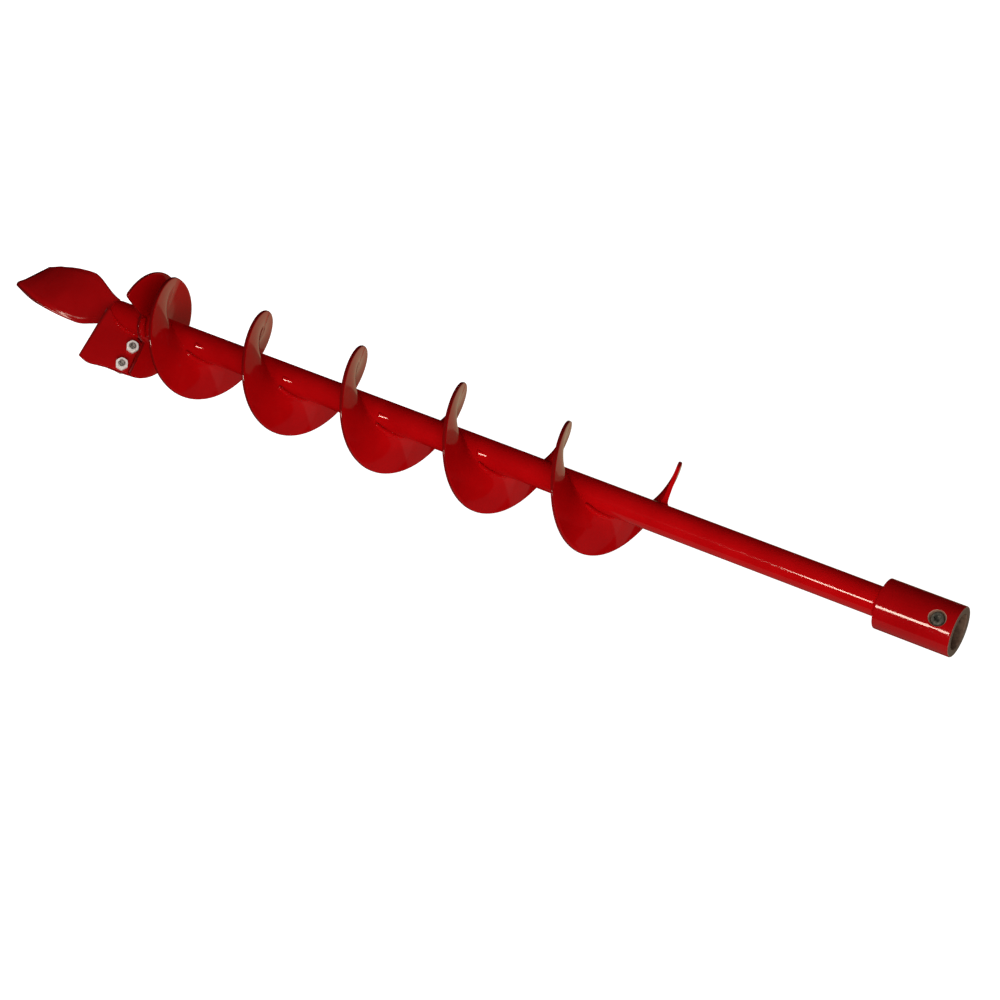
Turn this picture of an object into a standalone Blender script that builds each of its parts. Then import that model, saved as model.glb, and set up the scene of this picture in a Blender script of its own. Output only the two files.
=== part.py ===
"""Drill bit of a powered ice auger: a tube with a drive hub on top, a welded single right-hand
flight, a flat first turn with a bolted cutting blade, and a twisted fishtail point.

Sizes are in millimetres and degrees. +Z runs up the shaft, from the point to the hub. The origin is
the centre of the hub's open end. Angles are measured about +Z from +X.
"""

from math import cos, pi, radians, sin, sqrt, tan

import bmesh
import bpy
from mathutils import Matrix, Vector

MM = 0.001
ROUND = 72
GAP = 0.3

# Shaft
TUBE_R = 9.525
TUBE_WALL = 2.5

# Drive hub
HUB_R = 15.875
HUB_LENGTH = 48.4
HUB_BORE_R = 11.1
HUB_BORE_DEPTH = 38.0
HUB_CHAMFER = 0.8
HUB_WELD = 3.2

# Set screw
SCREW_R = 3.97
SCREW_LENGTH = 6.35
SCREW_BELOW_END = 11.0
SCREW_ANGLE = -101.0
SCREW_SUNK = 0.5
SCREW_SOCKET_AF = 4.0
SCREW_SOCKET_DEPTH = 3.2
SCREW_SINK_R = 5.75
SCREW_SINK_DEPTH = 1.5

# Flight
FLIGHT_R = 38.1
FLIGHT_SHEET = 2.5
PITCH = 80.8
TURNS = 5
SEAM_ANGLE = 180.0
FLIGHT_START = 605.0
SEAM_GAP = 0.5

# Flat first turn, which laps under its own end and has a gap cut in it for the ice chips
FLAT_RISE = 10.5
FLAT_LAP = 35.0
CHIP_GAP = (-110.0, -6.5)
COLLAR_R = 13.0

# Weld beads at the flight's root
BEAD_R = 1.5
BEAD_SPAN = (-40.0, 4.0)
FLAT_BEAD_SPAN = (-104.0, -46.0)

# Slanted plane of the cutting blade: X along the edge, Y up the blade, Z out of its face
BLADE_CORNER = (-1.3, -12.0)
BLADE_BELOW_SEAM = 38.3
BLADE_HEADING = -18.0
BLADE_TILT = 56.15
BLADE_THICK = 4.0
BLADE_BEVEL = 4.5
BLADE_WIDTH = 40.6
BLADE_BELOW_FLAT = 1.4
SEAT_THICK = 3.0
SEAT_WIDTH = 37.5
SEAT_FOOT = 12.0

# Blade bolts and nuts
BOLT_R = 2.5
BOLTS = {"inner": (15.8, 29.85), "outer": (30.4, 29.85)}
BOLT_HEAD = 3.5
BOLT_PAST_NUT = 1.2
NUT_AF = 8.0
NUT_HEIGHT = 4.0

# Fishtail point
POINT_LENGTH = 83.0
POINT_HALF_WIDTH = 19.1
POINT_NECK_HALF = 9.9
POINT_HALF_THICK = 2.5
POINT_EDGE_SHARE = 0.45
POINT_NOTCH = 2.6
POINT_TWIST = 62.0
POINT_NECK_ANGLE = 7.0
POINT_SHIFT = 2.4
POINT_SHOULDER = 31.0
TANG_SHARE = 0.88
TANG_LENGTH = 12.0
POINT_WELD = 2.0

# Follows from the sizes above
TUBE_TOP = -HUB_BORE_DEPTH - 1.0
TUBE_FOOT = -FLIGHT_START - 36.0
HOLE_R = TUBE_R + GAP
TANG_HALF = (TUBE_R - TUBE_WALL) * TANG_SHARE
TANG_THICK = TANG_HALF * 0.38

# Finishes: colour, metallic, roughness
ENAMEL = ((0.42, 0.004, 0.006), 0.0, 0.18)
WORN_ENAMEL = ((0.36, 0.006, 0.006), 0.0, 0.26)
ZINC = ((0.72, 0.74, 0.76), 1.0, 0.32)
BLACK_OXIDE = ((0.03, 0.03, 0.032), 0.9, 0.4)


def material_for(name, finish):
    colour, metallic, roughness = finish
    made = bpy.data.materials.new(name)
    made.use_nodes = True
    shader = made.node_tree.nodes["Principled BSDF"]
    shader.inputs["Base Color"].default_value = (*colour, 1.0)
    shader.inputs["Metallic"].default_value = metallic
    shader.inputs["Roughness"].default_value = roughness
    return made


def add(name, shape, finish=None, parent=None):
    """Turns a bmesh drawn in millimetres into an object. Without a finish it is a cutter."""
    bmesh.ops.scale(shape, vec=(MM, MM, MM), verts=shape.verts)
    bmesh.ops.recalc_face_normals(shape, faces=shape.faces)
    mesh = bpy.data.meshes.new(name)
    shape.to_mesh(mesh)
    shape.free()
    made = bpy.data.objects.new(name, mesh)
    bpy.context.scene.collection.objects.link(made)
    made.parent = parent
    if finish:
        mesh.shade_smooth()
        mesh.set_sharp_from_angle(angle=radians(32))
        mesh.materials.append(material_for(name, finish))
    else:
        made.hide_render = True
        made.display_type = "WIRE"
    return made


def boolean(target, tool, operation="DIFFERENCE"):
    change = target.modifiers.new(tool.name, "BOOLEAN")
    change.operation = operation
    change.solver = "EXACT"
    change.object = tool


def section(corners):
    """A bmesh holding one flat face in the XZ plane, from (radius, height) corners."""
    shape = bmesh.new()
    shape.faces.new([shape.verts.new((r, 0.0, z)) for r, z in corners])
    shape.faces.ensure_lookup_table()
    return shape


def ring(name, corners, finish):
    """Spins a section a full turn about Z."""
    shape = section(corners)
    face = shape.faces[0]
    edges, verts = list(face.edges), list(face.verts)
    shape.faces.remove(face)
    bmesh.ops.spin(shape, geom=verts + edges, axis=(0, 0, 1), angle=2 * pi, steps=ROUND, use_merge=True)
    bmesh.ops.remove_doubles(shape, verts=shape.verts, dist=0.01)
    return add(name, shape, finish)


def cylinder(name, radius, low, high, finish=None, parent=None, sides=48, at=(0.0, 0.0), tip=0.0, foot=0.0):
    """A round or hexagonal bar along Z, with optional chamfers at its tip and foot."""
    shape = bmesh.new()
    turn = Matrix.Rotation(pi / 6, 4, "Z") if sides == 6 else Matrix.Identity(4)
    bmesh.ops.create_circle(shape, cap_ends=True, segments=sides, radius=radius - foot, matrix=turn)
    bmesh.ops.translate(shape, vec=(*at, low), verts=shape.verts)
    shape.faces.ensure_lookup_table()
    face = shape.faces[0]
    centre = Vector((*at, 0.0))
    for level, reach in ((low + foot, radius), (high - tip, radius), (high, radius - tip)):
        if level - face.verts[0].co.z < 1e-6:
            continue
        face = bmesh.ops.extrude_discrete_faces(shape, faces=[face])["faces"][0]
        now = (face.verts[0].co.xy - centre.xy).length
        for vert in face.verts:
            vert.co = centre + (vert.co - centre) * (reach / now)
            vert.co.z = level
    close(shape)
    return add(name, shape, finish, parent)


def close(shape):
    """Fills the open end that an extruded face leaves behind it."""
    open_edges = [edge for edge in shape.edges if edge.is_boundary]
    if open_edges:
        bmesh.ops.contextual_create(shape, geom=open_edges)


def climb(angle, rise):
    """Height of a wound sheet's middle at an angle: both kinds of turn meet at the first seam."""
    return -FLIGHT_START + rise * (angle - SEAM_ANGLE) / 360.0


def wound_sheet(name, first, last, rise):
    """Spins a radial section about the shaft while it climbs. The sheet is steeper at the root,
    so its upright thickness grows towards it."""
    steps = round(ROUND * (last - first) / 360.0)
    corners = []
    for r in (HOLE_R, HOLE_R * 2.1, FLIGHT_R):
        corners.append((r, FLIGHT_SHEET / 2 * sqrt(1 + (rise / (2 * pi * r)) ** 2)))
    corners += [(r, -z) for r, z in reversed(corners)]
    shape = section(corners)
    bmesh.ops.translate(shape, vec=(0, 0, climb(first, rise)), verts=shape.verts)
    bmesh.ops.rotate(shape, cent=(0, 0, 0), matrix=Matrix.Rotation(radians(first), 3, "Z"), verts=shape.verts)
    bmesh.ops.spin(
        shape,
        geom=shape.verts[:] + shape.edges[:] + shape.faces[:],
        axis=(0, 0, 1),
        dvec=(0, 0, rise * (last - first) / 360.0 / steps),
        angle=radians(last - first),
        steps=steps,
    )
    return add(name, shape, ENAMEL)


def flat_first_turn():
    sheet = wound_sheet("flat_first_turn", SEAM_ANGLE - 360.0 - FLAT_LAP, SEAM_ANGLE - SEAM_GAP, FLAT_RISE)
    low, high = CHIP_GAP
    steps = round(abs(high - low) / 5)
    mid = climb((low + high) / 2, FLAT_RISE)
    shape = section([(COLLAR_R, mid - 8), (60.0, mid - 8), (60.0, mid + 8), (COLLAR_R, mid + 8)])
    bmesh.ops.rotate(shape, cent=(0, 0, 0), matrix=Matrix.Rotation(radians(low), 3, "Z"), verts=shape.verts)
    everything = shape.verts[:] + shape.edges[:] + shape.faces[:]
    bmesh.ops.spin(shape, geom=everything, axis=(0, 0, 1), angle=radians(high - low), steps=steps)
    boolean(sheet, add("chip_gap_cutter", shape))


def flight():
    flat_first_turn()
    for number in range(1, TURNS + 1):
        first = SEAM_ANGLE + 360.0 * (number - 1)
        wound_sheet(f"flight_turn_{number}", first + SEAM_GAP, first + 360.0 - SEAM_GAP, PITCH)


def bead(name, first, last, rise, rows=13):
    """A weld bead in the corner between the shaft and the top of a wound sheet: a thick curve
    that tapers at both ends."""
    r = HOLE_R + BEAD_R
    lift = (FLIGHT_SHEET / 2 + GAP + 0.2 + BEAD_R) * sqrt(1 + (rise / (2 * pi * r)) ** 2)
    curve = bpy.data.curves.new(name, "CURVE")
    curve.dimensions = "3D"
    curve.bevel_depth = BEAD_R * MM
    curve.bevel_resolution = 2
    curve.use_fill_caps = True
    line = curve.splines.new("POLY")
    line.points.add(rows - 1)
    for i, point in enumerate(line.points):
        share = i / (rows - 1)
        angle = first + (last - first) * share
        a = radians(angle)
        point.co = (r * cos(a) * MM, r * sin(a) * MM, (climb(angle, rise) + lift) * MM, 1.0)
        point.radius = 0.3 + 0.7 * sqrt(1 - (2 * share - 1) ** 2)
    curve.materials.append(material_for(name, ENAMEL))
    bpy.context.scene.collection.objects.link(bpy.data.objects.new(name, curve))


def root_welds():
    bead("root_weld_flat", *FLAT_BEAD_SPAN, FLAT_RISE)
    for number in range(1, TURNS + 1):
        first, last = (angle + 360.0 * number for angle in BEAD_SPAN)
        bead(f"root_weld_{number}", first, last, PITCH)


def shaft_tube():
    inner, lip = TUBE_R - TUBE_WALL, 0.4
    corners = [(inner, TUBE_TOP), (TUBE_R - lip, TUBE_TOP), (TUBE_R, TUBE_TOP - lip)]
    corners += [(TUBE_R, TUBE_FOOT + lip), (TUBE_R - lip, TUBE_FOOT), (inner, TUBE_FOOT)]
    ring("shaft_tube", corners, ENAMEL)


def screw_axis():
    """An empty on the hub's outside, its Z pointing out along the set screw."""
    axis = bpy.data.objects.new("set_screw_axis", None)
    bpy.context.scene.collection.objects.link(axis)
    a = radians(SCREW_ANGLE)
    axis.location = (HUB_R * cos(a) * MM, HUB_R * sin(a) * MM, -SCREW_BELOW_END * MM)
    axis.rotation_euler = (0.0, pi / 2, a)
    return axis


def drive_hub(axis):
    c = HUB_CHAMFER
    corners = [(HUB_BORE_R + c, 0.0), (HUB_R - c, 0.0), (HUB_R, -c), (HUB_R, c - HUB_LENGTH)]
    corners += [(HUB_R - c, -HUB_LENGTH), (HOLE_R, -HUB_LENGTH), (HOLE_R, -HUB_BORE_DEPTH)]
    corners += [(HUB_BORE_R, -HUB_BORE_DEPTH), (HUB_BORE_R, -c)]
    hub = ring("drive_hub", corners, ENAMEL)
    boolean(hub, cylinder("screw_hole_cutter", SCREW_R + GAP, -10.0, 4.0, parent=axis))
    sink = SCREW_SINK_R + 1.0
    boolean(hub, cylinder("screw_sink_cutter", sink, -SCREW_SINK_DEPTH, 4.0, parent=axis, foot=SCREW_SINK_DEPTH))


def set_screw(axis):
    top = -SCREW_SUNK
    screw = cylinder("set_screw", SCREW_R, top - SCREW_LENGTH, top, BLACK_OXIDE, axis, foot=0.7, tip=0.4)
    socket = SCREW_SOCKET_AF / 2 / cos(pi / 6)
    boolean(screw, cylinder("socket_cutter", socket, top - SCREW_SOCKET_DEPTH, top + 3.0, parent=axis, sides=6))


def hub_weld():
    low, leg = -HUB_LENGTH - GAP, HUB_WELD
    corners = [(HOLE_R, low), (HOLE_R + leg, low), (HOLE_R + leg * 0.72, low - leg * 0.55)]
    corners += [(HOLE_R + leg * 0.3, low - leg * 0.9), (HOLE_R, low - leg)]
    ring("hub_weld", corners, ENAMEL)


def blade_plane():
    """An empty at the blade's inner corner, turned so that Z comes out of the blade's face."""
    plane = bpy.data.objects.new("blade_plane", None)
    bpy.context.scene.collection.objects.link(plane)
    plane.location = Vector((*BLADE_CORNER, -FLIGHT_START - BLADE_BELOW_SEAM)) * MM
    plane.rotation_euler = (radians(BLADE_TILT), 0.0, radians(BLADE_HEADING))
    return plane


def under_flat(level, clear):
    """How far up the blade plane a point at a level can lie and stay clear of the flat turn."""
    tilt = radians(BLADE_TILT)
    height = climb(0.0, FLAT_RISE) - FLIGHT_SHEET * 0.55 - clear + FLIGHT_START + BLADE_BELOW_SEAM
    return (height - level * cos(tilt)) / sin(tilt)


def plate(name, corners, front, back, finish, plane, slide):
    """Extrudes an outline from its front face to its back face. slide moves each back corner
    along Y, which bevels the edge between."""
    shape = bmesh.new()
    face = shape.faces.new([shape.verts.new((x, y, front)) for x, y in corners])
    grown = bmesh.ops.extrude_face_region(shape, geom=[face], use_keep_orig=True)["geom"]
    behind = [item for item in grown if isinstance(item, bmesh.types.BMVert)]
    for vert in behind:
        nearest = min(range(len(corners)), key=lambda i: (Vector(corners[i]) - vert.co.xy).length)
        vert.co.y += slide[nearest]
        vert.co.z = back
    return add(name, shape, finish, plane)


def cutting_blade(plane, bar):
    """The blade's face is straight along the edge and trimmed at its outer corner."""
    wide, deep = BLADE_WIDTH, under_flat(0.0, BLADE_BELOW_FLAT)
    corners = [(0.0, 0.0), (wide, 1.0), (wide + 0.6, 9.5), (wide - 1.4, 15.0), (wide - 4.6, 25.5)]
    corners += [(wide - 6.8, deep), (9.5, deep - 2.4), (0.0, 3.0)]
    slide = [BLADE_BEVEL, BLADE_BEVEL] + [0.0] * 5 + [BLADE_BEVEL]
    blade = plate("cutting_blade", corners, 0.0, -BLADE_THICK, WORN_ENAMEL, plane, slide)
    boolean(blade, bar)
    return blade


def blade_seat(plane, bar):
    """A plate behind the blade, whose top edge lies level under the flat first turn."""
    front = -BLADE_THICK - GAP
    top = under_flat(front, GAP)
    corners = [(1.0, SEAT_FOOT), (SEAT_WIDTH, SEAT_FOOT), (SEAT_WIDTH - 4.2, top), (3.0, top)]
    lean = SEAT_THICK / tan(radians(BLADE_TILT))
    seat = plate("blade_seat", corners, front, front - SEAT_THICK, ENAMEL, plane, [0.0, 0.0, lean, lean])
    boolean(seat, bar)
    return seat


def blade_fasteners(plane, drilled):
    under = -BLADE_THICK - SEAT_THICK - 2 * GAP
    top = GAP + NUT_HEIGHT
    corner_r = NUT_AF / 2 / cos(pi / 6)
    for side, at in BOLTS.items():
        hole = cylinder(f"bolt_hole_cutter_{side}", BOLT_R + GAP, -16.0, 12.0, parent=plane, at=at)
        nut = cylinder(f"blade_nut_{side}", corner_r, GAP, top, ZINC, plane, 6, at, tip=0.5, foot=0.5)
        for piece in (*drilled, nut):
            boolean(piece, hole)
        head = cylinder(f"bolt_head_{side}", corner_r, under - BOLT_HEAD, under, None, plane, 6, at, foot=0.5)
        low, high = under - BOLT_HEAD / 2, top + BOLT_PAST_NUT
        bolt = cylinder(f"blade_bolt_{side}", BOLT_R, low, high, ZINC, plane, 36, at, tip=0.5)
        boolean(bolt, head, "UNION")


def point_row(depth):
    """Half width, sideways shift, turn and half thickness of the point's bar at a depth."""
    open_out = min(max((depth - 2.0) / POINT_SHOULDER, 0.0), 1.0)
    wide = POINT_NECK_HALF + (POINT_HALF_WIDTH - POINT_NECK_HALF) * open_out**2 * (3 - 2 * open_out)
    near_tip = min(max((depth - 66.0) / (POINT_LENGTH - 66.0), 0.0), 1.0)
    shift = -POINT_SHIFT * min(open_out * 1.5, 1.0) - 1.5 * near_tip
    twist = min(max((depth - 22.0) / (POINT_LENGTH - 22.0), 0.0), 1.0)
    turn = radians(POINT_NECK_ANGLE - POINT_TWIST * twist**1.2)
    ground = min(max((depth - POINT_LENGTH + 11.0) / 11.0, 0.0), 1.0)
    return wide, shift, turn, POINT_HALF_THICK * (1 - 0.62 * ground)


def point_ring(shape, depth, wide, shift, turn, thick, edge):
    """One closed row of vertices round the bar, thin at both edges, notched between the prongs."""
    across = (-1.0, -0.86, -0.5, 0.0, 0.5, 0.86, 1.0)
    share = min(max((depth - 60.0) / (POINT_LENGTH - 60.0), 0.0), 1.0) ** 2
    verts = []
    for side, order in ((1, across), (-1, across[::-1])):
        for k in order:
            half = side * thick * (edge if abs(k) == 1.0 else 1.0)
            x = shift + wide * k * cos(turn) - half * sin(turn)
            y = wide * k * sin(turn) + half * cos(turn)
            z = TUBE_FOOT - depth + POINT_NOTCH * share * (1 - k * k)
            verts.append(shape.verts.new((x, y, z)))
    return verts


def fishtail_point():
    """A flat bar with a tang in the tube, twisted about the shaft and ending in two prongs."""
    shape = bmesh.new()
    neck = POINT_WELD + 2 * GAP + 0.2
    neck_turn = radians(POINT_NECK_ANGLE)
    rows = [
        point_ring(shape, depth, TANG_HALF, 0.0, neck_turn, TANG_THICK, 1.0) for depth in (-TANG_LENGTH, neck - 0.4)
    ]
    count = 20
    for i in range(count + 1):
        depth = neck + (POINT_LENGTH - neck) * i / count
        rows.append(point_ring(shape, depth, *point_row(depth), POINT_EDGE_SHARE))
    size = len(rows[0])
    for upper, lower in zip(rows, rows[1:]):
        for k in range(size):
            j = (k + 1) % size
            shape.faces.new((upper[k], upper[j], lower[j], lower[k]))
    for end in (rows[0], rows[-1]):
        for k in range(size // 2 - 1):
            shape.faces.new((end[k], end[k + 1], end[size - 2 - k], end[size - 1 - k]))
    add("fishtail_point", shape, WORN_ENAMEL)


def point_weld():
    """A round bead under the tube's end, with a slot for the tang."""
    top = TUBE_FOOT - GAP
    weld = cylinder("point_weld", TUBE_R - 0.1, top - POINT_WELD, top, ENAMEL, foot=1.2)
    shape = bmesh.new()
    bmesh.ops.create_cube(shape, size=1.0)
    bmesh.ops.scale(shape, vec=(2 * (TANG_HALF + GAP), 2 * (TANG_THICK + GAP), 12.0), verts=shape.verts)
    bmesh.ops.translate(shape, vec=(0, 0, TUBE_FOOT), verts=shape.verts)
    slot = add("tang_slot_cutter", shape)
    slot.rotation_euler.z = radians(POINT_NECK_ANGLE)
    boolean(weld, slot)


for old in list(bpy.data.objects):
    bpy.data.objects.remove(old)

shaft_tube()
set_screw_axis = screw_axis()
drive_hub(set_screw_axis)
set_screw(set_screw_axis)
hub_weld()
flight()
root_welds()
fishtail_point()
point_weld()
slanted = blade_plane()
shaft_bar = cylinder("shaft_cutter", HOLE_R + 0.05, -700.0, -560.0, sides=ROUND)
seat_and_blade = (cutting_blade(slanted, shaft_bar), blade_seat(slanted, shaft_bar))
blade_fasteners(slanted, seat_and_blade)
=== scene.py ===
"""Looks of a powered ice auger's drill bit: glossy red enamel over welded steel, a bolted cutting
blade, zinc fasteners and an oiled steel drive hub. Lengths are in millimetres until a surface is
made, +Z runs up the shaft, and angles are degrees about +Z from +X."""

import bpy
import numpy as np
from mathutils import Matrix, Vector
from mathutils.geometry import delaunay_2d_cdt


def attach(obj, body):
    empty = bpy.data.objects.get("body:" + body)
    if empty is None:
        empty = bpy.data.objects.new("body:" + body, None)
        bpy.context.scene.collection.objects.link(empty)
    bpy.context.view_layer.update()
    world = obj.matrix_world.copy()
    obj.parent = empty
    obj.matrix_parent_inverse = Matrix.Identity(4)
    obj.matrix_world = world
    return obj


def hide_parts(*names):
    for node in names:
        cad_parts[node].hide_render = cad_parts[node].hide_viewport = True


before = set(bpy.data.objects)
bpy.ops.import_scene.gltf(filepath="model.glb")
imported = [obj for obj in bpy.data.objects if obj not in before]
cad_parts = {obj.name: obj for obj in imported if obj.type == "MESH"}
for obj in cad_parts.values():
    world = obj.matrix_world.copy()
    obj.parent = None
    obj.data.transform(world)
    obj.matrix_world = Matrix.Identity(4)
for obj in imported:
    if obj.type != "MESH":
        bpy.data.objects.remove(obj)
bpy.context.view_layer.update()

# Sizes of the bit
TUBE_R, TUBE_BORE, TUBE_TOP, TUBE_FOOT = 9.525, 7.025, -39.0, -641.0
HUB_R, HUB_BORE, HUB_LENGTH, HUB_DEPTH = 15.875, 11.1, 48.4, 38.0
SCREW_ANGLE, SCREW_LEVEL, SCREW_R, SCREW_TOP, SCREW_LONG = -101.0, -11.0, 3.97, 15.375, 6.35
SCREW_PITCH, SOCKET_FLATS = 1.411, 4.0
FLIGHT_R, SHEET, PITCH, FLAT_RISE, FLAT_LAP = 38.1, 2.5, 80.8, 10.5, 35.0
SEAM, FIRST_SEAM_LEVEL, TURNS = 180.0, -605.0, 5
CHIP_GAP, COLLAR_R = (-110.0, -6.5), 13.0
BLADE_CORNER, BLADE_HEADING, BLADE_TILT = (-1.3, -12.0, -643.3), -18.0, 56.15
BLADE_THICK, SEAT_THICK, GAP = 4.0, 3.0, 0.3
BOLTS = {"inner": (15.8, 29.85), "outer": (30.4, 29.85)}
BOLT_R, BOLT_PITCH, BOLT_HOLE_R, NUT_HIGH, FLATS, FLATS_CORNER = 2.5, 0.8, 2.8, 4.0, 8.0, 4.7
POINT_LENGTH = 83.0
TAIL_ANGLE, TAIL_LEVELS = -78.0, (-560.0, -484.0, -405.0, -327.0)
NOWHERE = -99.0  # further back than any plate reaches


# ---------------------------------------------------------------- surfaces

def round_angles(count):
    """Angles evenly spaced round a full turn, in radians."""
    return np.linspace(0, 2 * np.pi, count, endpoint=False)


def rings(r, z, a):
    """Rings of points round the Z axis: x = r cos a, y = r sin a, at height z."""
    return np.stack([r * np.cos(a), r * np.sin(a), z + 0 * a], -1)


def ramp(x):
    """Nought below nought, one above one, and straight between."""
    return np.clip(x, 0, 1)


def ease(x):
    """Nought below nought, one above one, and between them x squared times three less two x."""
    return ramp(x) ** 2 * (3 - 2 * ramp(x))


def band_faces(rows, cols, loop=False):
    """Four-cornered faces between each ring of points and the next, and with loop between the
    last ring and the first."""
    i = np.arange(rows if loop else rows - 1)[:, None]
    j = np.arange(cols)[None, :]
    up, right = (i + 1) % rows, (j + 1) % cols
    return np.stack([i * cols + j, i * cols + right, up * cols + right, up * cols + j], -1).reshape(-1, 4)


def skin(name, points, loop=False, marks=None, sharp=34.0):
    """A mesh from rings of points. With loop the last ring joins the first. Otherwise the first
    and the last are closed with one face each. marks are values kept per point."""
    rows, cols = points.shape[:2]
    faces = band_faces(rows, cols, loop).tolist()
    if not loop:
        faces += [list(range(cols)), list(range((rows - 1) * cols, rows * cols))]
    return solid(name, points.reshape(-1, 3), faces, marks, sharp)


def solid(name, points, faces, marks=None, sharp=34.0):
    """A smooth-shaded object in metres, at the origin, its faces turned outwards. Edges bent by
    more than the sharp angle, in degrees, stay crisp."""
    mesh = bpy.data.meshes.new(name)
    mesh.from_pydata((np.asarray(points, float) * 0.001).tolist(), [], faces)
    for mark, values in (marks or {}).items():
        kept = mesh.attributes.new(mark, "FLOAT", "POINT")
        kept.data.foreach_set("value", np.asarray(values, np.float32).ravel())
    mesh.validate()
    mesh.update()
    normal = np.empty(len(mesh.polygons) * 3)
    centre = np.empty(len(mesh.polygons) * 3)
    area = np.empty(len(mesh.polygons))
    mesh.polygons.foreach_get("normal", normal)
    mesh.polygons.foreach_get("center", centre)
    mesh.polygons.foreach_get("area", area)
    if (normal.reshape(-1, 3) * centre.reshape(-1, 3)).sum(1) @ area < 0:
        mesh.flip_normals()
    mesh.shade_smooth()
    mesh.set_sharp_from_angle(angle=np.radians(sharp))
    made = bpy.data.objects.new(name, mesh)
    bpy.context.scene.collection.objects.link(made)
    return made


def rounded(corners, radius, steps=5):
    """A closed outline with each corner replaced by an arc of the given radius: the arc's points
    are blends of the corner and its two tangent points, weighted as a quadratic curve."""
    corners = np.asarray(corners, float)
    radius = np.broadcast_to(radius, len(corners))
    before, after = np.roll(corners, 1, 0) - corners, np.roll(corners, -1, 0) - corners
    reach = [np.minimum(radius, np.linalg.norm(way, axis=1) * 0.49)[:, None] for way in (before, after)]
    start = corners + before / np.linalg.norm(before, axis=1)[:, None] * reach[0]
    end = corners + after / np.linalg.norm(after, axis=1)[:, None] * reach[1]
    t = np.linspace(0, 1, steps)[None, :, None]
    arc = (1 - t) ** 2 * start[:, None] + 2 * t * (1 - t) * corners[:, None] + t**2 * end[:, None]
    return arc.reshape(-1, 2)


def resampled(outline, spacing):
    """The same closed outline with extra points, so that no step is longer than the spacing."""
    outline = outline[np.linalg.norm(np.roll(outline, -1, 0) - outline, axis=1) > 1e-3]
    ahead = np.roll(outline, -1, 0)
    count = np.maximum(1, np.ceil(np.linalg.norm(ahead - outline, axis=1) / spacing)).astype(int)
    index = np.repeat(np.arange(len(outline)), count)
    share = (np.arange(count.sum()) - np.repeat(np.cumsum(count) - count, count)) / count[index]
    return outline[index] + (ahead - outline)[index] * share[:, None]


def turn_about(outline, steps):
    """Each outline point (radius, height) carried round the Z axis."""
    return rings(outline[:, :1], outline[:, 1:], round_angles(steps))


def hexagon(flats, a):
    """Radius of a hexagon at angle a: half the width across flats over the cosine of the angle
    from the nearest flat's middle."""
    return flats / 2 / np.cos((a + np.pi / 6) % (np.pi / 3) - np.pi / 6)


def ripple(points, size, reach, seed):
    """Smooth, repeatable unevenness: a sum of eight sine waves in fixed random directions."""
    chance = np.random.default_rng(seed)
    waves = chance.normal(size=(8, 3)) / reach
    phase = chance.uniform(0, 2 * np.pi, 8)
    return size * np.sin(points @ waves.T + phase).sum(-1) / 4


def blade_frame():
    """Corner of the blade plane, and its ways along the edge, up the blade and out of its face."""
    h, t = np.radians(BLADE_HEADING), np.radians(BLADE_TILT)
    along = np.array([np.cos(h), np.sin(h), 0.0])
    up = np.array([-np.sin(h) * np.cos(t), np.cos(h) * np.cos(t), np.sin(t)])
    return np.array(BLADE_CORNER), along, up, np.cross(along, up)


def on_axes(points, start, x_way, y_way, z_way):
    """Points given along three ways from a start, in the bit's own frame."""
    return start + points[..., :1] * x_way + points[..., 1:2] * y_way + points[..., 2:] * z_way


def shaft_tube():
    """The tube's wall section, with rounded ends, carried round the axis."""
    wall = [(TUBE_BORE, TUBE_TOP), (TUBE_R, TUBE_TOP), (TUBE_R, TUBE_FOOT), (TUBE_BORE, TUBE_FOOT)]
    return skin("shaft", turn_about(resampled(rounded(wall, 0.7), 6.0), 128), loop=True)


def drive_hub():
    """The hub's section carried round the axis, its outside lifted in a low ring round the screw
    hole by a bell curve of the distance to the ring, then cut by a countersunk plug."""
    neck = TUBE_R + 0.05
    wall = [(HUB_BORE, 0.0), (HUB_R, 0.0), (HUB_R, -HUB_LENGTH), (neck, -HUB_LENGTH)]
    wall += [(neck, -HUB_DEPTH), (HUB_BORE, -HUB_DEPTH)]
    points = turn_about(resampled(rounded(wall, [0.9, 0.7, 0.45, 0.2, 0.3, 0.5]), 0.6), 240)
    a = np.arctan2(points[..., 1], points[..., 0])
    r = np.hypot(points[..., 0], points[..., 1])
    aside = (a - np.radians(SCREW_ANGLE) + np.pi) % (2 * np.pi) - np.pi
    off = np.hypot(aside * HUB_R, points[..., 2] - SCREW_LEVEL)
    lift = np.where(r > HUB_R - 0.5, 0.03 * np.exp(-(((off - 6.3) / 0.8) ** 2)), 0.0)
    points[..., :2] *= ((r + lift) / r)[..., None]
    inside = points[..., 2] > -HUB_LENGTH + 1.0
    # The bare mark rises inwards from the outer chamfer. Its low part, on the chamfer, gets a painted
    # highlight with rubbed paint, and the rest is bare steel.
    bare_steel_and_rim_highlight = np.where(inside, ramp((HUB_R - 0.1 - r) / 0.8), 0.0)
    # The bore mark takes the painted shade and oil of the bore.
    hub = skin("hub", points, loop=True, marks={"bare_steel_and_rim_highlight": bare_steel_and_rim_highlight, "bore": inside & (r < HUB_BORE + 0.35)})
    hole = SCREW_R + GAP
    plug = turn_about(np.array([(hole, 6.0), (hole, 13.9), (5.0, 14.9), (5.75, 15.9), (6.4, 19.0)]), 64)
    # The countersink's bore mark gives it most of the bore's painted shade and oil.
    plug_marks = {"bare_steel_and_rim_highlight": np.ones(plug.shape[:2]), "bore": np.full(plug.shape[:2], 0.85)}
    cutter = skin("plug", on_axes(plug, *screw_axes()), marks=plug_marks)
    change = hub.modifiers.new("hole", "BOOLEAN")
    change.object, change.solver = cutter, "EXACT"
    graph = bpy.context.evaluated_depsgraph_get()
    mesh = bpy.data.meshes.new_from_object(hub.evaluated_get(graph))
    hub.modifiers.clear()
    hub.data = mesh
    mesh.set_sharp_from_angle(angle=np.radians(34.0))
    bpy.data.objects.remove(cutter)
    return hub


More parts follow.
